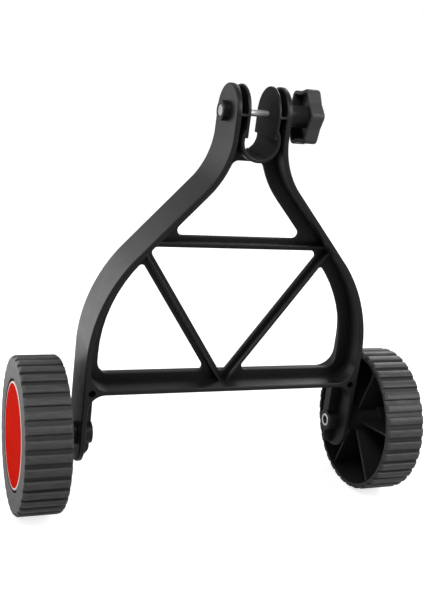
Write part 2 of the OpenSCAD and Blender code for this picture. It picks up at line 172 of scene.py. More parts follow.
class ShaderTree:
    """Node tree of one material, fed by the piece's own coordinates."""

    def __init__(self, name: str) -> None:
        """Starts a material with a plain surface shader.

        Args:
            name: Name of the new material.
        """
        self.material = bpy.data.materials.new(name)
        self.material.use_nodes = True
        self.tree = self.material.node_tree
        self.surface = self.tree.nodes["Principled BSDF"]
        self.place = self.tree.nodes.new("ShaderNodeTexCoord").outputs["Object"]

    def constant(self, **values: float) -> None:
        """Sets sockets, named with underscores for spaces, to values that hold all over."""
        for socket, value in values.items():
            self.surface.inputs[socket.replace("_", " ")].default_value = value

    def feed(self, socket: str, source: bpy.types.NodeSocket) -> None:
        """Links a source to a socket of the surface shader."""
        self.tree.links.new(source, self.surface.inputs[socket])

    def join(
        self, operation: Operation, first: Source, second: Source = 0.0
    ) -> bpy.types.NodeSocket:
        """Joins two values by one operation.

        Args:
            operation: What is done with them.
            first: Socket or number.
            second: Socket or number, left out where the operation takes only one.

        Returns:
            The result's socket.
        """
        node = self.tree.nodes.new("ShaderNodeMath")
        node.operation = operation.value
        for socket, value in zip(node.inputs, (first, second)):
            if isinstance(value, bpy.types.NodeSocket):
                self.tree.links.new(value, socket)
            else:
                socket.default_value = value
        return node.outputs[0]

    def noise(
        self,
        size: float,
        detail: float = 3.0,
        stretch: Sequence[float] = (1, 1, 1),
    ) -> bpy.types.NodeSocket:
        """Cloudy pattern over the piece.

        Args:
            size: Size of one cloud in metres.
            detail: Number of finer layers.
            stretch: Factor on each axis by which the clouds are drawn out.

        Returns:
            The pattern's value, about 0 to 1.
        """
        mapping = self.tree.nodes.new("ShaderNodeMapping")
        mapping.inputs["Scale"].default_value = [1 / s for s in stretch]
        node = self.tree.nodes.new("ShaderNodeTexNoise")
        node.inputs["Scale"].default_value = 1 / size
        node.inputs["Detail"].default_value = detail
        self.tree.links.new(self.place, mapping.inputs["Vector"])
        self.tree.links.new(mapping.outputs["Vector"], node.inputs["Vector"])
        return node.outputs["Fac"]

    def spread(
        self,
        source: bpy.types.NodeSocket,
        low: float,
        high: float,
        start: float = 0.3,
        end: float = 0.7,
    ) -> bpy.types.NodeSocket:
        """Maps a stretch of a pattern on to a range of values.

        Args:
            source: Pattern to map.
            low: Result where the pattern is at start or below.
            high: Result where the pattern is at end or above.
            start: Lower limit of the pattern.
            end: Upper limit of the pattern.

        Returns:
            The mapped value.
        """
        node = self.tree.nodes.new("ShaderNodeMapRange")
        limits = {"From Min": start, "From Max": end, "To Min": low, "To Max": high}
        for socket, value in limits.items():
            node.inputs[socket].default_value = value
        self.tree.links.new(source, node.inputs["Value"])
        return node.outputs["Result"]

    def blend(
        self,
        share: bpy.types.NodeSocket,
        first: bpy.types.NodeSocket | Colour,
        second: Colour,
    ) -> bpy.types.NodeSocket:
        """Mixes two colours.

        Args:
            share: Share of the second colour.
            first: Colour, or the socket of one.
            second: Colour mixed in.

        Returns:
            The mixed colour.
        """
        node = self.tree.nodes.new("ShaderNodeMix")
        node.data_type = "RGBA"
        self.tree.links.new(share, node.inputs["Factor"])
        if isinstance(first, bpy.types.NodeSocket):
            self.tree.links.new(first, node.inputs["A"])
        else:
            node.inputs["A"].default_value = (*first, 1)
        node.inputs["B"].default_value = (*second, 1)
        return node.outputs["Result"]

    def relief(self, height: bpy.types.NodeSocket, depth: float) -> None:
        """Roughens the surface by a height pattern.

        Args:
            height: Pattern of heights from 0 to 1.
            depth: Height of the pattern in metres.
        """
        node = self.tree.nodes.new("ShaderNodeBump")
        node.inputs["Distance"].default_value = depth
        self.tree.links.new(height, node.inputs["Height"])
        self.feed("Normal", node.outputs["Normal"])

    def along(self, axis: Axis) -> bpy.types.NodeSocket:
        """Place of a point along one axis.

        Args:
            axis: Axis to measure along.

        Returns:
            The coordinate in metres.
        """
        split = self.tree.nodes.new("ShaderNodeSeparateXYZ")
        self.tree.links.new(self.place, split.inputs[0])
        return split.outputs[axis.name]

    def distance_from_middle(self) -> bpy.types.NodeSocket:
        """Distance of a point from the middle plane between the wheels."""
        return self.join(Operation.ABSOLUTE, self.along(Axis.X))

    def distance_from(self, line: Axis, height: float) -> bpy.types.NodeSocket:
        """Distance of a point from a level line through the Z axis.

        Args:
            line: Direction of the line, X or Y.
            height: Z of the line.

        Returns:
            The distance in metres.
        """
        rise = self.join(Operation.SUBTRACT, self.along(Axis.Z), height)
        aside = self.along(Axis.Y if line is Axis.X else Axis.X)
        squares = [self.join(Operation.MULTIPLY, way, way) for way in (rise, aside)]
        return self.join(Operation.ROOT, self.join(Operation.ADD, *squares))


def middle_height(node: str) -> float:
    """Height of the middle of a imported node."""
    low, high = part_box(node)
    return (low.z + high.z) / 2


def axle_height() -> float:
    """Height of the wheels' axles."""
    return middle_height(Side.LEFT.node("wheel"))


@dataclass(frozen=True)
class Finish:
    """Finish of one material slot.

    Attributes:
        slot: Slot of the record.
        colour: Main colour, linear.
        shade: Second colour of the cloudy variation, linear.
        cloud: Size of that variation.
        gloss: Lowest and highest roughness.
        grain: Size of the surface grain.
        depth: Height of the surface grain.
        fineness: How many times finer the roughness varies than the colour.
    """

    slot: Slot
    colour: Colour
    shade: Colour
    cloud: float
    gloss: Limits
    grain: float
    depth: float
    fineness: float = 4.0

    def material(self) -> bpy.types.Material:
        """Material of this finish, made once."""
        name = f"{self.slot.value}_finish"
        return bpy.data.materials.get(name) or self.paint(ShaderTree(name)).material

    def paint(self, shader: ShaderTree) -> ShaderTree:
        """Fills the shader with the colour, gloss and grain that all finishes have.

        Args:
            shader: Tree to fill.

        Returns:
            The same tree.
        """
        shader.feed("Base Color", self.tint(shader))
        shader.feed("Roughness", self.roughness(shader))
        shader.relief(shader.noise(self.grain, GRAIN_DETAIL), self.depth)
        return shader

    def tint(self, shader: ShaderTree) -> bpy.types.NodeSocket:
        """Main colour with its cloudy variation."""
        clouds = shader.spread(shader.noise(self.cloud), 0, 1)
        return shader.blend(clouds, self.colour, self.shade)

    def roughness(self, shader: ShaderTree) -> bpy.types.NodeSocket:
        """Roughness with its finer variation."""
        return shader.spread(shader.noise(self.cloud / self.fineness), *self.gloss)


@dataclass(frozen=True)
class MouldedPlastic(Finish):
    """Injection-moulded plastic with a fine spark-eroded grain.

    Attributes:
        shine: Strength of its reflections.
    """

    shine: float = 0.28

    def paint(self, shader: ShaderTree) -> ShaderTree:
        """Adds the plastic's even shine."""
        shader.constant(IOR=PLASTIC_IOR, Specular_IOR_Level=self.shine)
        return super().paint(shader)


@dataclass(frozen=True)
class ClampPlastic(MouldedPlastic):
    """Frame plastic, left matt on the faces that grip the pole.

    Attributes:
        bore: Radius about the pole within which the bore's wall lies.
        jaw: Distance from the middle within which the jaws' inner faces lie.
        matt: Roughness of these faces.
    """

    bore: float = 13.1 * MM
    jaw: float = 11.0 * MM
    matt: float = 0.8

    def roughness(self, shader: ShaderTree) -> bpy.types.NodeSocket:
        """Moulding's roughness with the matt faces.

        Args:
            shader: Tree to fill.

        Returns:
            The roughness's socket.
        """
        between = shader.join(Operation.LESS, shader.distance_from_middle(), self.jaw)
        above = shader.join(Operation.GREATER, shader.along(Axis.Z), 0.0)
        jaws = shader.join(Operation.MULTIPLY, between, above)
        wall = shader.join(Operation.LESS, shader.distance_from(Axis.Y, 0.0), self.bore)
        grips = shader.join(Operation.MAXIMUM, jaws, wall)
        matt = shader.join(Operation.MULTIPLY, grips, self.matt)
        return shader.join(Operation.MAXIMUM, super().roughness(shader), matt)


@dataclass(frozen=True, kw_only=True)
class HollowShadedPlastic(MouldedPlastic):
    """Plastic of a hollow turning piece, its hollow painted darker as painted shade.

    Attributes:
        node: Node of the piece, on the right side where there are two.
        hollow_shade: Painted shade inside the hollow, a darker colour, linear.
        inside: Radius of the hollow.
        wall: Wall that closes its outer end.
    """

    node: str
    hollow_shade: Colour
    inside: float
    wall: float

    def tint(self, shader: ShaderTree) -> bpy.types.NodeSocket:
        """Piece's colour with painted shade in the hollow.

        Args:
            shader: Tree to fill.

        Returns:
            The colour's socket.
        """
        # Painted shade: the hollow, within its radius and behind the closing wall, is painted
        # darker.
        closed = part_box(self.node)[1].x - self.wall
        radius = shader.distance_from(Axis.X, middle_height(self.node))
        behind = shader.join(Operation.LESS, shader.distance_from_middle(), closed)
        within = shader.join(Operation.LESS, radius, self.inside)
        hollow = shader.join(Operation.MULTIPLY, behind, within)
        return shader.blend(hollow, super().tint(shader), self.hollow_shade)


@dataclass(frozen=True)
class TreadPlastic(HollowShadedPlastic):
    """Wheel plastic with painted sheen on the outer side and paler scuffs on the tread crowns.

    Attributes:
        scuff_and_highlight: Paler crown colour: scuffs, and painted highlight over the darker
            grooves, linear.
        crown: Distances from the axle between which the scuffs set in.
        streak: Size of one of the scuffs.
        streak_detail: Finer layers of the scuffs.
        streak_stretch: Factor by which scuffs are drawn out along the axle.
        wear: Lowest and highest share of the scuffs.
        wear_limits: Values of their pattern between which that share grows.
        side_sheen: Painted sheen on the outer side, a paler colour, linear.
        side: Distances from the outer side between which that colour ends.
        side_sheen_share: Lowest and highest share of that painted sheen.
        side_sheen_fineness: How many times finer that share varies than the wheel's colour.
    """

    scuff_and_highlight: Colour = (0.08, 0.079, 0.077)
    crown: Limits = (57.8 * MM, 58.8 * MM)
    streak: float = 1.2 * MM
    streak_detail: int = 4
    streak_stretch: float = 9.0
    wear: Limits = (0.2, 0.6)
    wear_limits: Limits = (0.35, 0.75)
    side_sheen: Colour = (0.085, 0.083, 0.084)
    side: Limits = (0.1 * MM, 0.5 * MM)
    side_sheen_share: Limits = (0.65, 1.0)
    side_sheen_fineness: float = 5.0

    def tint(self, shader: ShaderTree) -> bpy.types.NodeSocket:
        """Wheel's colour with the side's painted sheen and the crowns' scuffs and painted
        highlight.

        Args:
            shader: Tree to fill.

        Returns:
            The colour's socket.
        """
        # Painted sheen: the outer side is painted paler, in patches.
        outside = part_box(self.node)[1].x
        depth = shader.join(Operation.SUBTRACT, outside, shader.distance_from_middle())
        sides = shader.spread(depth, 1, 0, *self.side)
        patches = shader.spread(shader.noise(self.cloud / self.side_sheen_fineness), *self.side_sheen_share)
        side_sheen = shader.join(Operation.MULTIPLY, sides, patches)
        # Crowns painted paler in streaks: scuffs, and painted highlight that leaves the grooves
        # darker.
        crowns = shader.spread(shader.distance_from(Axis.X, axle_height()), 0, 1, *self.crown)
        streaks = shader.noise(self.streak, self.streak_detail, (self.streak_stretch, 1, 1))
        wear = shader.spread(streaks, *self.wear, *self.wear_limits)
        scuff_and_highlight_mask = shader.join(Operation.MULTIPLY, crowns, wear)
        sided = shader.blend(side_sheen, super().tint(shader), self.side_sheen)
        return shader.blend(scuff_and_highlight_mask, sided, self.scuff_and_highlight)


@dataclass(frozen=True)
class SatinPaint(MouldedPlastic):
    """Smooth painted plastic with hardly any shine."""

    shine: float = 0.004


@dataclass(frozen=True)
class RimmedPaint(SatinPaint):
    """Paint of a round cap whose main colour is left as a ring along its edge.

    Attributes:
        inner: Colour inside the ring, linear.
        rim_width: Width of the ring.
        fade: Width over which the two colours meet.
    """

    inner: Colour = RED
    rim_width: float = 1.5 * MM
    fade: float = 0.1 * MM

    def tint(self, shader: ShaderTree) -> bpy.types.NodeSocket:
        """Ring's colour with the inner colour inside it.

        Args:
            shader: Tree to fill.

        Returns:
            The colour's socket.
        """
        low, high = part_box(Side.LEFT.node("cap"))
        edge = (high.z - low.z) / 2 - self.rim_width
        radius = shader.distance_from(Axis.X, axle_height())
        inside = shader.spread(radius, 1, 0, edge, edge + self.fade)
        return shader.blend(inside, super().tint(shader), self.inner)


@dataclass(frozen=True)
class TurnedMetal(Finish):
    """Bare or plated metal with fine turning marks round the X axis.

    Attributes:
        streak: Factor by which the marks are drawn out round the axis.
        socket_shade: Painted shade in the axle screws' drive sockets, a darker colour, linear.
        socket: Distances from the axles between which that painted shade ends.
        head_shade: Painted shade on the clamp bolt's head, a darker colour, linear.
        head: Height of the bolt's end that is painted darker.
        head_reach: Radius about the bolt within which it lies.
    """

    streak: float = 12.0
    socket_shade: Colour = (0.13, 0.128, 0.125)
    socket: Limits = (3.3 * MM, 3.9 * MM)
    head_shade: Colour = (0.33, 0.33, 0.325)
    head: float = 3.0 * MM
    head_reach: float = 9.0 * MM

    def paint(self, shader: ShaderTree) -> ShaderTree:
        """Replaces the cloudy gloss by turning marks.

        Args:
            shader: Tree to fill.

        Returns:
            The same tree.
        """
        marks = shader.noise(self.grain, GRAIN_DETAIL, (1, self.streak, self.streak))
        shader.constant(Metallic=1.0)
        shader.feed("Base Color", self.tint(shader))
        shader.feed("Roughness", shader.spread(marks, *self.gloss))
        shader.relief(marks, self.depth)
        return shader

    def tint(self, shader: ShaderTree) -> bpy.types.NodeSocket:
        """Metal's colour with painted shade on the clamp bolt's head and in the axle screws'
        sockets.

        Args:
            shader: Tree to fill.

        Returns:
            The colour's socket.
        """
        # Painted shade: the clamp bolt's head end is painted darker.
        head_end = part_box("clamp_bolt")[0].x + self.head
        outside = shader.join(Operation.LESS, shader.along(Axis.X), head_end)
        radius = shader.distance_from(Axis.X, middle_height("clamp_bolt"))
        near = shader.join(Operation.LESS, radius, self.head_reach)
        head_shade_mask = shader.join(Operation.MULTIPLY, outside, near)
        # Painted shade: the axle screws' drive sockets, near the axle lines, are painted
        # darker.
        socket_shade_mask = shader.spread(shader.distance_from(Axis.X, axle_height()), 1, 0, *self.socket)
        head_shaded = shader.blend(head_shade_mask, super().tint(shader), self.head_shade)
        return shader.blend(socket_shade_mask, head_shaded, self.socket_shade)


FRAME_FINISH = ClampPlastic(
    Slot.FRAME,
    colour=(0.0045, 0.0045, 0.0048),
    shade=(0.0065, 0.0065, 0.0068),
    cloud=40 * MM,
    gloss=(0.38, 0.42),
    grain=0.45 * MM,
    depth=0.03 * MM,
)
KNOB_FINISH = HollowShadedPlastic(
    Slot.KNOB,
    colour=(0.03, 0.03, 0.0305),
    shade=(0.036, 0.036, 0.0365),
    cloud=20 * MM,
    gloss=(0.44, 0.54),
    grain=0.45 * MM,
    depth=0.04 * MM,
    node="knob",
    # Painted shade inside the knob's hollow.
    hollow_shade=(0.021, 0.021, 0.0213),
    inside=15.6 * MM,
    wall=2.5 * MM,
)
WHEEL_FINISH = TreadPlastic(
    Slot.WHEEL,
    colour=(0.02, 0.02, 0.0205),
    shade=(0.026, 0.026, 0.0265),
    cloud=25 * MM,
    gloss=(0.44, 0.54),
    grain=0.5 * MM,
    depth=0.04 * MM,
    node=Side.RIGHT.node("wheel"),
    # Painted shade inside the wheel's hollow.
    hollow_shade=(0.012, 0.012, 0.0122),
    inside=55.7 * MM,
    wall=2.6 * MM,
)
CAP_FINISH = RimmedPaint(
    Slot.CAP,
    colour=(0.78, 0.68, 0.65),
    shade=(0.74, 0.64, 0.61),
    cloud=30 * MM,
    gloss=(0.6, 0.7),
    grain=1.2 * MM,
    depth=0.01 * MM,
)
FACE_FINISH = SatinPaint(
    Slot.FACE,
    colour=RED,
    shade=(0.51, 0.0075, 0.0017),
    cloud=30 * MM,
    gloss=(0.6, 0.7),
    grain=1.2 * MM,
    depth=0.01 * MM,
)
STEEL_FINISH = TurnedMetal(
    Slot.STEEL,
    colour=(0.7, 0.7, 0.69),
    shade=(0.62, 0.62, 0.62),
    cloud=4 * MM,
    gloss=(0.4, 0.52),
    grain=0.3 * MM,
    depth=0.002 * MM,
)
BRASS_FINISH = TurnedMetal(
    Slot.BRASS,
    colour=(0.62, 0.42, 0.15),
    shade=(0.52, 0.33, 0.1),
    cloud=4 * MM,
    gloss=(0.28, 0.4),
    grain=0.3 * MM,
    depth=0.002 * MM,
)


@dataclass(frozen=True)
class Cut:
    """Plane that parts flat faces with holes into plain ones.

    Attributes:
        normal: Direction across the plane.
        point: Point of the plane.
    """

    normal: Place = Axis.Y.value
    point: Place = (0.0, 0.0, 0.0)

    def apply(self, bm: bmesh.types.BMesh) -> None:
        """Cuts the mesh at the plane and marks the cut as a seam.

        Args:
            bm: Mesh to cut.
        """
        parts = [*bm.verts, *bm.edges, *bm.faces]
        cut = bmesh.ops.bisect_plane(
            bm, geom=parts, dist=WELD, plane_co=self.point, plane_no=self.normal
        )
        for part in cut["geom_cut"]:
            if isinstance(part, bmesh.types.BMEdge):
                part.seam = True


@dataclass(frozen=True)
class Crisp:
    """Round zone about a line, on both sides of the part, whose edges stay sharp.

    Attributes:
        axis: Direction of the line.
        point: Point of the right side's line.
        radius: Radius of the zone.
    """

    axis: Axis
    point: Place
    radius: float

    def holds(self, edge: bmesh.types.BMEdge) -> bool:
        """Whether both ends of an edge lie in the zone.

        Args:
            edge: Edge to test.

        Returns:
            True if the edge stays sharp.
        """
        along, point = Vector(self.axis.value), Vector(self.point)
        ends = [Vector((abs(vert.co.x), vert.co.y, vert.co.z)) for vert in edge.verts]
        return all((end - point).cross(along).length < self.radius for end in ends)


@dataclass(frozen=True)
class Softening:
    """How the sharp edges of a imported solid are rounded.

    Attributes:
        radius: Radius of the rounded edges.
        cuts: Planes that part its flat faces.
        crisp: Zones whose edges stay sharp.
        flat: Angle below which facets count as one flat face.
        room: Least width of a facet beside a rounded edge, by the radius.
        segments: Facets across each rounded edge.
    """

    radius: float
    cuts: tuple[Cut, ...] = (Cut(),)
    crisp: tuple[Crisp, ...] = ()
    flat: float = FLAT_ANGLE
    room: float = 1.3
    segments: int = 3

    def mesh(self, node: str) -> bpy.types.Mesh:
        """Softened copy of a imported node's mesh.

        Args:
            node: Name of the node.

        Returns:
            The new mesh.
        """
        bm = bmesh.new()
        bm.from_mesh(frame["nodes"][node].data)
        bmesh.ops.remove_doubles(bm, verts=bm.verts, dist=WELD)
        for cut in self.cuts:
            cut.apply(bm)
        bmesh.ops.dissolve_limit(
            bm, angle_limit=self.flat, verts=bm.verts, edges=bm.edges, delimit={"SEAM"}
        )
        self.widen(bm)
        bmesh.ops.bevel(
            bm,
            geom=[edge for edge in bm.edges if self.rounds(edge)],
            offset=self.radius,
            offset_type="OFFSET",
            affect="EDGES",
            segments=self.segments,
            profile=ROUND_PROFILE,
            clamp_overlap=False,
            loop_slide=True,
        )
        bmesh.ops.dissolve_degenerate(bm, dist=WELD, edges=bm.edges)
        return shaded_mesh(bm, node)

    def widen(self, bm: bmesh.types.BMesh) -> None:
        """Joins facets too narrow beside a rounded edge with the next and clears idle points.

        Args:
            bm: Mesh to mend.
        """
        spare: set[bmesh.types.BMEdge] = set()
        for edge in filter(self.rounds, bm.edges):
            start, along = edge.verts[0].co, (edge.verts[1].co - edge.verts[0].co).normalized()
            for face in edge.link_faces:
                reach = {
                    other: (middle(other) - start).cross(along).length for other in face.edges
                }
                far = max(reach, key=reach.get)
                narrow = reach[far] < self.room * self.radius
                if narrow and not far.seam and not self.sharp(far):
                    spare.add(far)
        bmesh.ops.dissolve_edges(bm, edges=list(spare), use_verts=False)
        passed = [vert for vert in bm.verts if len(vert.link_edges) == 2]
        idle = [vert for vert in passed if not any(map(self.rounds, vert.link_edges))]
        bmesh.ops.dissolve_verts(bm, verts=idle)

    @staticmethod
    def sharp(edge: bmesh.types.BMEdge) -> bool:
        """Whether an edge is a corner rather than a line between facets of a curve."""
        return not edge.is_manifold or edge.calc_face_angle() > SHARP_ANGLE

    def rounds(self, edge: bmesh.types.BMEdge) -> bool:
        """Whether an edge is a sharp outer one that is rounded."""
        outer = edge.is_manifold and edge.is_convex and self.sharp(edge)
        return outer and not any(zone.holds(edge) for zone in self.crisp)


def middle(edge: bmesh.types.BMEdge) -> Vector:
    """Middle of an edge."""
    return (edge.verts[0].co + edge.verts[1].co) / 2


def shaded_mesh(bm: bmesh.types.BMesh, name: str) -> bpy.types.Mesh:
    """Turns a working mesh into a smooth-shaded one with creases at its sharp corners.

    Args:
        bm: Working mesh, which is freed.
        name: Name of the new mesh.

    Returns:
        The new mesh.
    """
    bm.normal_update()
    for face in bm.faces:
        face.smooth = True
    for edge in bm.edges:
        edge.seam = False
        edge.smooth = edge.is_manifold and edge.calc_face_angle() < CREASE_ANGLE
    mesh = bpy.data.meshes.new(name)
    bm.to_mesh(mesh)
    bm.free()
    return mesh


@dataclass
class SubAssembly:
    """Pieces that are built and dressed together.

    Attributes:
        pieces: Objects built so far, each with the finish that it gets.
    """

    pieces: list[tuple[bpy.types.Object, Finish]] = field(default_factory=list, init=False)

    def build(self) -> None:
        """Builds the pieces' meshes."""
        raise NotImplementedError

    def dress(self) -> None:
        """Gives every piece its finish and even normals."""
        for piece, finish in self.pieces:
            piece.data.materials.append(finish.material())
            piece.modifiers.new("even_normals", "WEIGHTED_NORMAL").keep_sharp = True

    def add(
        self, name: str, mesh: bpy.types.Mesh, body: str, finish: Finish
    ) -> bpy.types.Object:
        """Adds a piece that rides on a body.

        Args:
            name: Name of the piece.
            mesh: Its mesh, in the row's frame.
            body: Name of the body that carries it.
            finish: Finish that it gets.

        Returns:
            The new object.
        """
        piece = bpy.data.objects.new(name, mesh)
        bpy.context.scene.collection.objects.link(piece)
        self.pieces.append((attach(piece, body), finish))
        return piece

    def soften(self, node: str, soft: Softening, finish: Finish) -> bpy.types.Object:
        """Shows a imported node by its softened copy, which rides on the same body."""
        body = body_of(frame["nodes"][node])[0]
        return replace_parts(self.add(f"soft_{node}", soft.mesh(node), body, finish), node)


def bar_along_pole(profile: Section, reach: float, soft: float) -> bmesh.types.BMesh:
    """Bar of one cross section along Y.

    Args:
        profile: Corners of the section as X and Z.
        reach: Distance of each end from the middle.
        soft: Radius of its edges.

    Returns:
        The working mesh.
    """
    bm = bmesh.new()
    face = bm.faces.new([bm.verts.new((x, -reach, z)) for x, z in profile])
    sweep = bmesh.ops.extrude_face_region(bm, geom=[face])
    moved = [part for part in sweep["geom"] if isinstance(part, bmesh.types.BMVert)]
    bmesh.ops.translate(bm, verts=moved, vec=(0, 2 * reach, 0))
    bmesh.ops.recalc_face_normals(bm, faces=bm.faces)
    sharp = [edge for edge in bm.edges if edge.calc_face_angle() > SHARP_ANGLE]
    bmesh.ops.bevel(
        bm,
        geom=sharp,
        offset=soft,
        affect="EDGES",
        segments=BAR_SEGMENTS,
        profile=ROUND_PROFILE,
        clamp_overlap=True,
    )
    return bm


@dataclass
class MouldedFrame(SubAssembly):
    """A-frame moulding with the grips inside its clamp ring.

    Attributes:
        edge: Radius of the moulding's edges.
        flat: Angle below which facets of the moulding count as one.
        bore: Radius of the clamp's bore.
        root: Depth to which the grips reach into the ring.
        lip_face: Distance of each lip's flat face from the middle.
        lip_foot: Height of each lip's lower edge.
        lip_steps: Facets along the back of a lip.
        ridge_angles: Places of the two low ridges round the bore, from +X towards +Z.
        ridge_half: Half width of a ridge's crown, as an angle.
        ridge_foot: Width of a ridge's foot, by its crown's.
        ridge_rise: Height of a ridge over the bore.
        grip_reach: Distance of the grips' ends from the middle.
        grip_soft: Radius of the grips' edges.
        core: Zone of the core hole in each flange corner.
        leg_rib: Zone along the free edge of the rib on each leg.
        window: Distance from the middle of a plane through each side window.
    """

    edge: float = 0.9 * MM
    flat: float = math.radians(2.0)
    bore: float = 12.7 * MM
    root: float = 0.5 * MM
    lip_face: float = 10.35 * MM
    lip_foot: float = 1.9 * MM
    lip_steps: int = 6
    ridge_angles: tuple[float, float] = (math.radians(-62), math.radians(-118))
    ridge_half: float = math.radians(3.2)
    ridge_foot: float = 1.6
    ridge_rise: float = 0.6 * MM
    grip_reach: float = 19.4 * MM
    grip_soft: float = 0.25 * MM
    core: Crisp = Crisp(Axis.Y, (107.8 * MM, 0.0, -192.5 * MM), 3.4 * MM)
    leg_rib: Crisp = Crisp(Axis.Z, (103.2 * MM, 0.0, 0.0), 1.8 * MM)
    window: float = 73 * MM

    def build(self) -> None:
        """Builds the softened moulding, its lips and its ridges."""
        places = (0.0, self.window, -self.window)
        upright = [Cut(Axis.X.value, (place, 0.0, 0.0)) for place in places]
        cuts = (Cut(), *upright, Cut(Axis.Z.value, self.core.point))
        soft = Softening(self.edge, cuts, (self.core, self.leg_rib), self.flat)
        self.soften("frame", soft, FRAME_FINISH)
        for side in Side:
            self.add_grip(side.node("grip_lip"), self.lip_profile(side))
        for side, angle in zip(Side, self.ridge_angles):
            self.add_grip(side.node("grip_ridge"), self.ridge_profile(angle))

    def add_grip(self, name: str, profile: Section) -> None:
        """Adds one bar inside the clamp ring."""
        mesh = shaded_mesh(bar_along_pole(profile, self.grip_reach, self.grip_soft), name)
        self.add(name, mesh, Body.FRAME.value, FRAME_FINISH)

    def lip_profile(self, side: Side) -> Section:
        """Section of the lip that carries a jaw's inner plane down into the bore.

        Args:
            side: Side of the lip.

        Returns:
            Its corners as X and Z.
        """
        back = self.bore + self.root
        start = math.asin(self.lip_foot / back)
        end = math.acos(self.lip_face / back)
        turns = [start + (end - start) * i / self.lip_steps for i in range(self.lip_steps + 1)]
        arc = [(back * math.cos(a), back * math.sin(a)) for a in turns]
        return [(side.value * x, z) for x, z in [(self.lip_face, self.lip_foot), *arc]]

    def ridge_profile(self, angle: float) -> Section:
        """Section of a low ridge on the bore's wall.

        Args:
            angle: Its place round the bore.

        Returns:
            Its corners as X and Z.
        """
        inner, outer = self.bore - self.ridge_rise, self.bore + self.root
        foot, crown = self.ridge_foot * self.ridge_half, self.ridge_half
        corners = [(outer, -foot), (inner, -crown), (inner, crown), (outer, foot)]
        turned = [(r, angle + turn) for r, turn in corners]
        return [(r * math.cos(a), r * math.sin(a)) for r, a in turned]


@dataclass
class ClampHardware(SubAssembly):
    """Bolt through the jaws and the washer under the knob.

    Attributes:
        bolt_edge: Radius of the bolt's edges.
        washer_edge: Radius of the washer's edges.
    """

    bolt_edge: float = 0.45 * MM
    washer_edge: float = 0.2 * MM

    def build(self) -> None:
        """Builds the softened bolt and washer."""
        self.soften("clamp_bolt", Softening(self.bolt_edge), STEEL_FINISH)
        self.soften("clamp_washer", Softening(self.washer_edge), STEEL_FINISH)


@dataclass
class HandKnob(SubAssembly):
    """Hollow hand knob with its threaded insert.

    Attributes:
        edge: Radius of the knob's edges.
        insert_edge: Radius of the insert's edges.
        bore_reach: Radius about the bolt within which the insert's bore stays sharp.
    """

    edge: float = 1.1 * MM
    insert_edge: float = 0.3 * MM
    bore_reach: float = 4.3 * MM

    def build(self) -> None:
        """Builds the softened knob and insert."""
        line = (0.0, 0.0, middle_height("clamp_bolt"))
        bore = Crisp(Axis.X, line, self.bore_reach)
        self.soften("knob", Softening(self.edge, crisp=(bore,)), KNOB_FINISH)
        self.soften("knob_insert", Softening(self.insert_edge), BRASS_FINISH)


@dataclass
class RoadWheel(SubAssembly):
    """Wheel with its cap and coloured face.

    Attributes:
        side: Side of the wheel.
        groove: Turn of a tread groove's middle from the vertical.
        tread_edge: Radius of the wheel's edges.
        tread_flat: Angle below which facets of the tread count as one.
        cap_edge: Radius of the cap's edges.
        face_edge: Radius of the face's edge.
    """

    side: Side
    groove: float
    tread_edge: float = 0.6 * MM
    tread_flat: float = math.radians(2.5)
    cap_edge: float = 0.5 * MM
    face_edge: float = 0.3 * MM

    def build(self) -> None:
        """Builds the softened wheel, cap and face."""
        turn, axle = self.groove, (0.0, 0.0, axle_height())
        cuts = (
            Cut((0.0, math.cos(turn), math.sin(turn)), axle),
            Cut((0.0, -math.sin(turn), math.cos(turn)), axle),
        )
        tread = Softening(self.tread_edge, cuts, flat=self.tread_flat)
        self.soften(self.side.node("wheel"), tread, WHEEL_FINISH)
        self.soften(self.side.node("cap"), Softening(self.cap_edge, cuts), CAP_FINISH)
        self.soften(self.side.node("cap_face"), Softening(self.face_edge, cuts), FACE_FINISH)


@dataclass
class AxleSet(SubAssembly):
    """Screw, sleeve, washers and nut of one stub axle.

    Attributes:
        side: Side of the axle.
        edge: Radius of the screw's edges.
        thin_edge: Radius of the nut's, sleeve's and washers' edges.
    """

    side: Side
    edge: float = 0.4 * MM
    thin_edge: float = 0.2 * MM

    def build(self) -> None:
        """Builds the softened fasteners."""
        self.soften(self.side.node("axle_screw"), Softening(self.edge), STEEL_FINISH)
        for name in ("lock_nut", "axle_sleeve", "inner_washer", "outer_washer"):
            self.soften(self.side.node(name), Softening(self.thin_edge), STEEL_FINISH)


@dataclass(frozen=True)
class Softbox:
    """Large soft lamp aimed at the middle of the part.

    Attributes:
        name: Name of the lamp.
        azimuth: Bearing of the lamp as for a camera, in degrees.
        elevation: Height of the lamp over the horizon, in degrees.
        distance: Distance from the part's middle.
        width: Width of the lamp.
        height: Height of the lamp.
        power: Power in watts.
    """

    name: str
    azimuth: float
    elevation: float
    distance: float
    width: float
    height: float
    power: float

    def place(self, target: Vector) -> bpy.types.Object:
        """Sets up the lamp.

        Args:
            target: Point that it faces.

        Returns:
            The lamp's object.
        """
        lamp = bpy.data.lights.new(self.name, "AREA")
        lamp.shape = "RECTANGLE"
        lamp.size, lamp.size_y = self.width, self.height
        lamp.energy = self.power
        back = bearing(self.azimuth, self.elevation)
        placed = bpy.data.objects.new(self.name, lamp)
        placed.matrix_world = Matrix.Translation(target + back * self.distance) @ facing(back)
        placed.visible_camera = False
        bpy.context.scene.collection.objects.link(placed)
        return placed


def bearing(azimuth: float, elevation: float) -> Vector:
    """Unit vector towards an azimuth, 0 in front, and an elevation, both in degrees."""
    a, e = math.radians(azimuth), math.radians(elevation)
    return Vector((math.sin(a) * math.cos(e), -math.cos(a) * math.cos(e), math.sin(e)))


def facing(back: Vector) -> Matrix:
    """Rotation of a lamp or camera that looks against a direction."""
    return back.to_track_quat("Z", "Y").to_matrix().to_4x4()


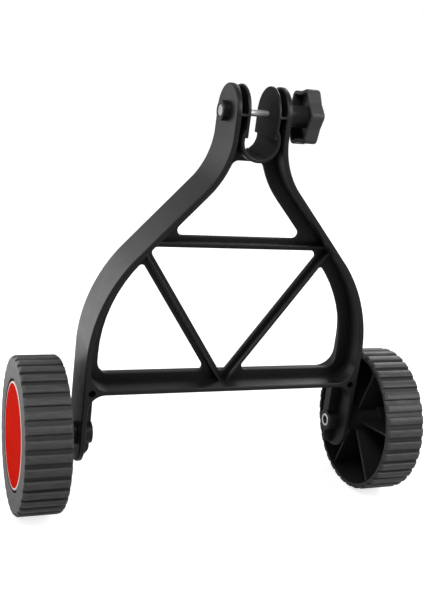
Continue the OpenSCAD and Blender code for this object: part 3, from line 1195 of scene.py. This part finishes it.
@dataclass
class Studio:
    """Pale floor, soft light and the camera.

    Attributes:
        boxes: Soft lamps.
        sky: Level of the even light from all sides.
        floor_half: Half width of the floor.
        floor_tone: Colour of the floor, linear.
        floor_roughness: Roughness of the floor.
        floor_shine: Strength of the floor's reflections.
        near_lift: White added to the floor's look beside the part.
        far_lift: White added to the floor's look far from the part.
        lift_reach: Distances from the part between which that white grows.
        mirror_share: Share of that white in reflections.
        backdrop_mirror: Level of the white backdrop in reflections.
        eye_azimuth: Bearing of the camera in degrees.
        eye_elevation: Height of the camera over the horizon in degrees.
        eye_roll: Turn of the camera about its line of sight in degrees.
        eye_distance: Distance of the camera from its target.
        eye_target: Point in the middle of the picture.
        lens: Focal length in millimetres on a 36 mm long side.
        near_clip: Distance from the camera at which its view starts.
    """

    # Each lamp: name, azimuth, elevation, distance, width, height, power.
    boxes: tuple[Softbox, ...] = (
        Softbox("left_softbox", -95, 12, 0.9, 0.35, 0.8, 3.4),
        Softbox("rim_softbox", -135, 2, 0.42, 0.24, 0.42, 0.7),
        Softbox("front_softbox", -40, 50, 0.9, 0.35, 0.35, 4.5),
        Softbox("right_softbox", 45, 30, 1.2, 0.5, 0.5, 11),
        Softbox("back_softbox", 130, 30, 1.2, 0.6, 0.6, 7),
    )
    sky: float = 0.15
    floor_half: float = 6.0
    floor_tone: Colour = (0.5, 0.5, 0.5)
    floor_roughness: float = 0.9
    floor_shine: float = 0.1
    near_lift: float = 0.76
    far_lift: float = 0.95
    lift_reach: Limits = (0.3, 1.3)
    mirror_share: float = 0.1
    backdrop_mirror: float = 0.5
    eye_azimuth: float = -22.069
    eye_elevation: float = 17.64
    eye_roll: float = 7.133
    eye_distance: float = 0.69577
    eye_target: Place = (-0.014744, 0.0, -0.125907)
    lens: float = 54.27
    near_clip: float = 0.01

    def build(self) -> None:
        """Sets up floor, light, background and camera."""
        bpy.context.scene.view_settings.view_transform = "Standard"
        self.lay_floor()
        self.light_background()
        target = (CAD_BOX[0] + CAD_BOX[1]) / 2
        for box in self.boxes:
            box.place(target)
        self.place_camera()

    def lay_floor(self) -> None:
        """Lays the pale floor under the wheels."""
        half, height = self.floor_half, CAD_BOX[0].z
        mesh = bpy.data.meshes.new("studio_floor")
        outline = [(-half, -half), (half, -half), (half, half), (-half, half)]
        mesh.from_pydata([(x, y, height) for x, y in outline], [], [(0, 1, 2, 3)])
        shader = ShaderTree("floor_paper")
        shader.constant(Roughness=self.floor_roughness, Specular_IOR_Level=self.floor_shine)
        shader.surface.inputs["Base Color"].default_value = (*self.floor_tone, 1)
        shader.surface.inputs["Emission Color"].default_value = (*WHITE, 1)
        span = shader.tree.nodes.new("ShaderNodeVectorMath")
        span.operation = "LENGTH"
        shader.tree.links.new(shader.place, span.inputs[0])
        lift = shader.spread(
            span.outputs["Value"], self.near_lift, self.far_lift, *self.lift_reach
        )
        shown = self.shown_level(shader.tree, 0.0, self.mirror_share)
        shader.feed("Emission Strength", shader.join(Operation.MULTIPLY, lift, shown))
        mesh.materials.append(shader.material)
        floor = bpy.data.objects.new("studio_floor", mesh)
        bpy.context.scene.collection.objects.link(floor)

    def light_background(self) -> None:
        """Gives the even light, and white to the camera and to reflections."""
        world = bpy.data.worlds.new("studio_sky")
        bpy.context.scene.world = world
        world.use_nodes = True
        tree = world.node_tree
        backdrop = tree.nodes["Background"]
        backdrop.inputs["Color"].default_value = (*WHITE, 1)
        level = self.shown_level(tree, self.sky, self.backdrop_mirror)
        tree.links.new(level, backdrop.inputs["Strength"])

    @staticmethod
    def shown_level(
        tree: bpy.types.NodeTree, hidden: float, mirrored: float
    ) -> bpy.types.NodeSocket:
        """Level of 1 for what is looked at, and lower ones for what is mirrored or gives light.

        Args:
            tree: Node tree that gets the nodes.
            hidden: Level for rays that carry diffuse light.
            mirrored: Level for rays of reflections and of clear bodies.

        Returns:
            The level's socket.
        """
        path = tree.nodes.new("ShaderNodeLightPath")
        levels = {
            "Is Camera Ray": 1.0,
            "Is Glossy Ray": mirrored,
            "Is Transmission Ray": mirrored,
        }
        total: Source = hidden
        for ray, level in levels.items():
            node = tree.nodes.new("ShaderNodeMath")
            node.operation = "MULTIPLY_ADD"
            node.inputs[1].default_value = level - hidden
            tree.links.new(path.outputs[ray], node.inputs[0])
            if isinstance(total, bpy.types.NodeSocket):
                tree.links.new(total, node.inputs[2])
            else:
                node.inputs[2].default_value = total
            total = node.outputs[0]
        return total

    def place_camera(self) -> None:
        """Places the camera at the photograph's view."""
        camera = bpy.data.cameras.new("photo_view")
        camera.lens = self.lens
        camera.clip_start = self.near_clip
        back = bearing(self.eye_azimuth, self.eye_elevation)
        eye = bpy.data.objects.new("photo_view", camera)
        spot = Matrix.Translation(Vector(self.eye_target) + back * self.eye_distance)
        roll = Matrix.Rotation(math.radians(self.eye_roll), 4, "Z")
        eye.matrix_world = spot @ facing(back) @ roll
        bpy.context.scene.collection.objects.link(eye)
        bpy.context.scene.camera = eye


def main() -> None:
    """Builds and dresses the sub-assemblies in order and sets up the studio."""
    logging.basicConfig(level=logging.INFO, format="%(message)s")
    assemblies: list[SubAssembly] = [MouldedFrame(), ClampHardware(), HandKnob()]
    for side in Side:
        assemblies += [RoadWheel(side, TREAD_GROOVES[side]), AxleSet(side)]
    for assembly in assemblies:
        assembly.build()
        assembly.dress()
        for piece, finish in assembly.pieces:
            faces = len(piece.data.polygons)
            LOG.info("%s: %s, %d faces", piece.name, finish.slot.value, faces)
    Studio().build()


if __name__ == "__main__":
    main()
